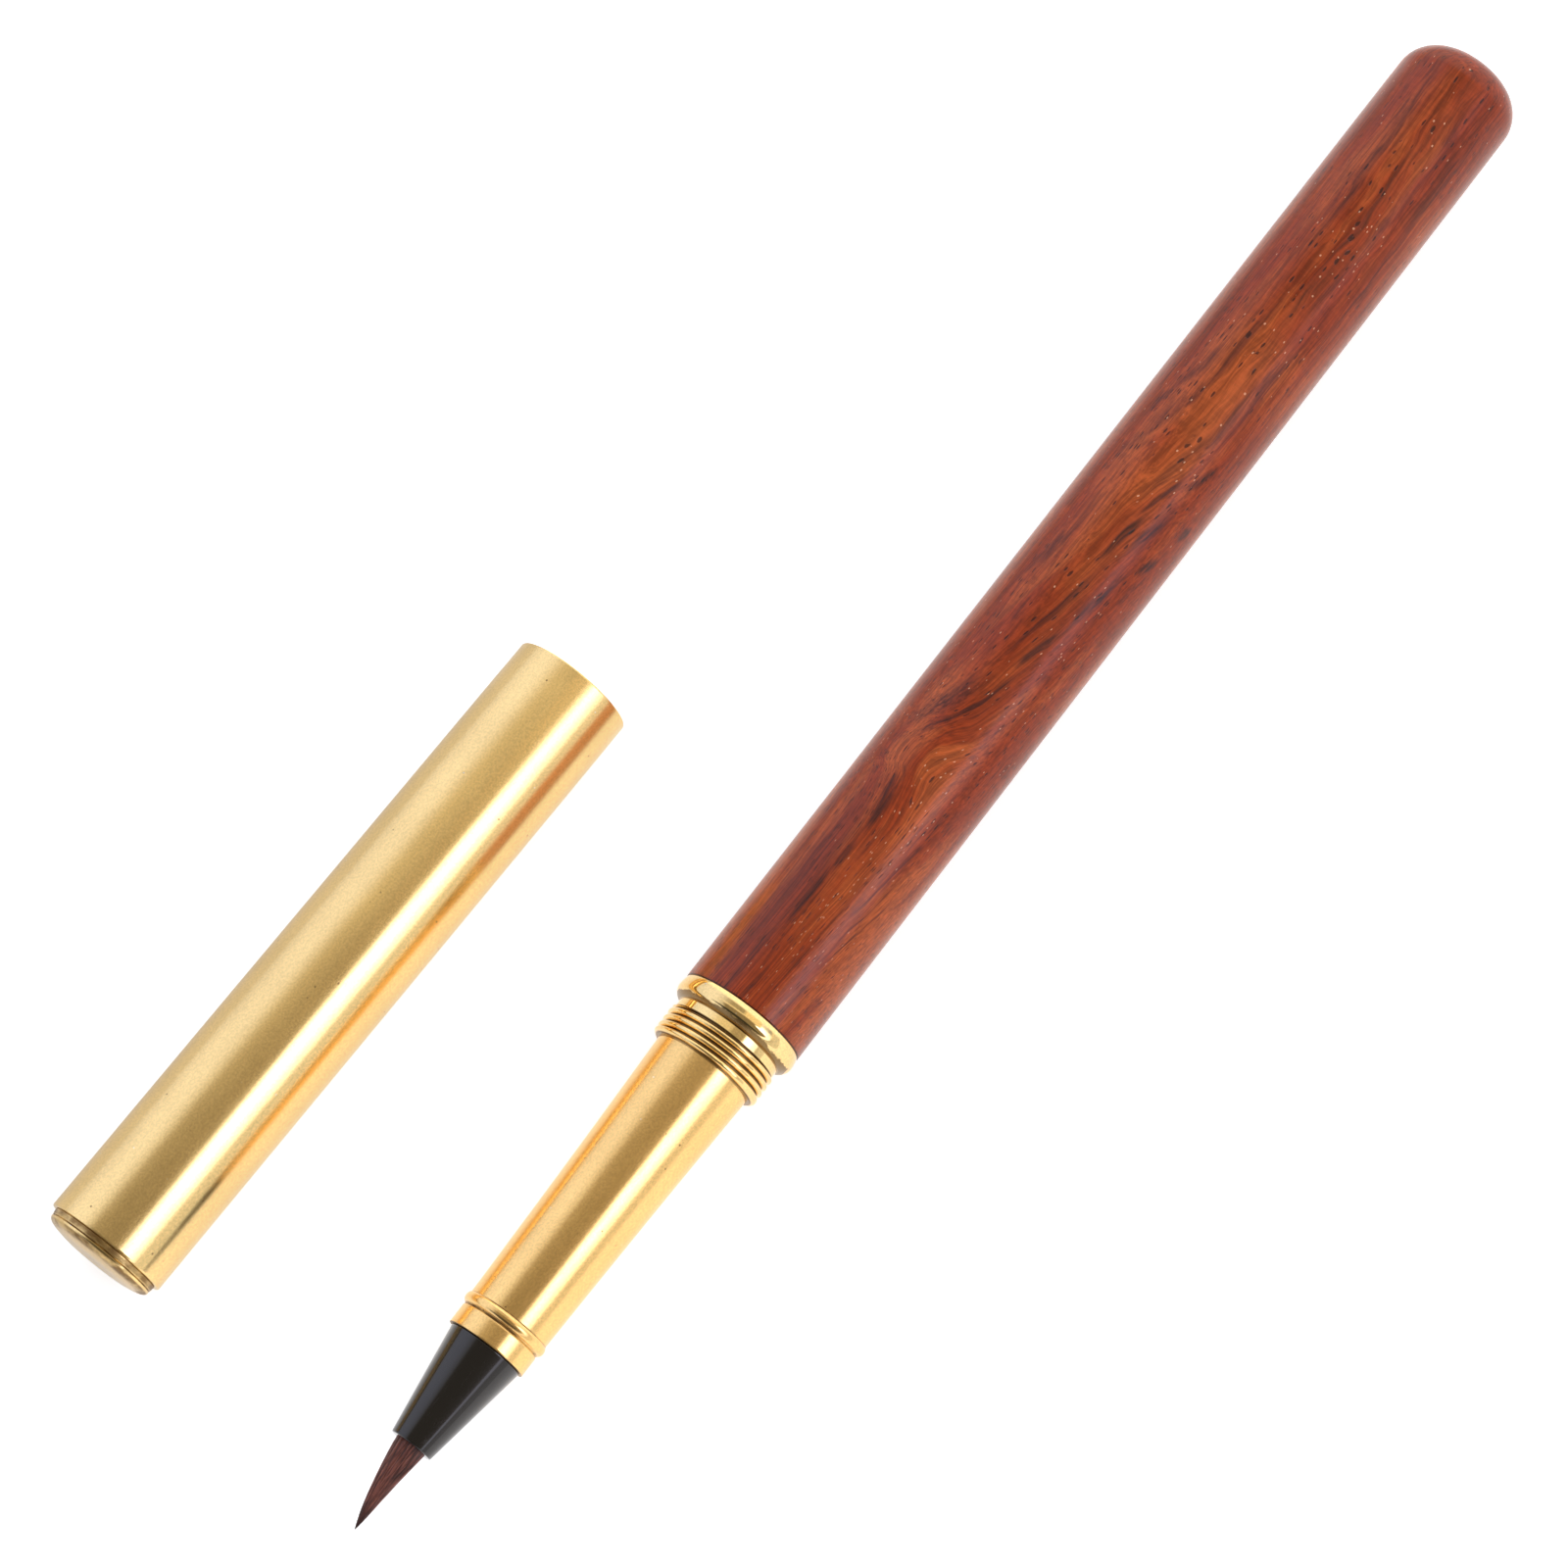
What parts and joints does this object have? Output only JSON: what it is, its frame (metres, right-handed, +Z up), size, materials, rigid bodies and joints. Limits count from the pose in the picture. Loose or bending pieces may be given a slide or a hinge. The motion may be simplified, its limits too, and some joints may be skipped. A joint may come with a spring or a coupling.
{
  "type": "calligraphy brush pen",
  "caption": "Refillable brush pen with a round rosewood barrel, tapered brass grip, soft brush tip on a plastic holder, twist-fill ink converter and separate brass screw cap.",
  "frame": {"origin": "on the pen's axis at the front face of the wooden barrel, 6.1 mm above the table it lies on", "axes": "+X along the pen from brush tip to tail, +Z up, +Y towards the cap that lies beside it"},
  "size_m": [0.1667, 0.0432, 0.0122],
  "materials": {
    "rosewood": "oiled, satin",
    "bush_brass": "turned",
    "polished_brass": "mirror polished",
    "ring_rubber": "matt",
    "satin_brass": "fine satin along the tube",
    "holder_plastic": "glossy moulded",
    "bristle_hair": "soft hair, dark red-brown",
    "anchor_resin": "cast resin",
    "wick_fibre": "bonded fibre",
    "feed_plastic": "fine matt",
    "clear_plastic": "clear",
    "guide_plastic": "natural nylon",
    "sleeve_metal": "polished",
    "nut_plastic": "natural acetal",
    "knob_plastic": "glossy, fluted",
    "rod_plastic": "moulded",
    "seal_rubber": "soft silicone",
    "cap_brass": "fine satin along the tube",
    "cap_end_brass": "polished, soft worn",
    "liner_plastic": "moulded"
  },
  "bodies": {
    "barrel": {"wood_barrel": "rosewood", "barrel_thread_bush": "bush_brass"},
    "front_section": {"threaded_collar": "polished_brass", "collar_o_ring": "ring_rubber", "grip_tube": "satin_brass"},
    "brush_head": {"brush_holder": "holder_plastic", "bristle_tuft": "bristle_hair", "tuft_anchor": "anchor_resin", "ink_wick": "wick_fibre", "ink_feed": "feed_plastic"},
    "converter": {"converter_tube": "clear_plastic", "piston_guide": "guide_plastic", "converter_sleeve": "sleeve_metal"},
    "knob": {"twist_knob": "knob_plastic", "drive_nut": "nut_plastic"},
    "piston": {"piston_rod": "rod_plastic", "piston_seal": "seal_rubber"},
    "cap": {"cap_tube": "cap_brass", "cap_end_plug": "cap_end_brass", "cap_liner": "liner_plastic"}
  },
  "joints": [
    {"name": "section_draw", "type": "slide", "parent": "barrel", "child": "front_section", "axis": [-1, 0, 0], "range_m": [0, 0.055]},
    {"name": "brush_head_pull", "type": "slide", "parent": "front_section", "child": "brush_head", "axis": [-1, 0, 0], "range_m": [0, 0.024]},
    {"name": "converter_pull", "type": "slide", "parent": "front_section", "child": "converter", "axis": [1, 0, 0], "range_m": [0, 0.008]},
    {"name": "knob_turn", "type": "hinge", "parent": "converter", "child": "knob", "pos_m": [0.045, 0, 0], "axis": [-1, 0, 0], "range_deg": [0, 1980]},
    {"name": "piston_travel", "type": "slide", "parent": "converter", "child": "piston", "axis": [1, 0, 0], "range_m": [0, 0.022]},
    {"name": "cap_draw", "type": "slide", "parent": "barrel", "child": "cap", "axis": [-0.9999, 0.0169, 0], "range_m": [0, 0.071]}
  ],
  "couplings": [
    {"joint": "knob_turn", "follows": "piston_travel", "rad_per_m": 1570.8}
  ]
}
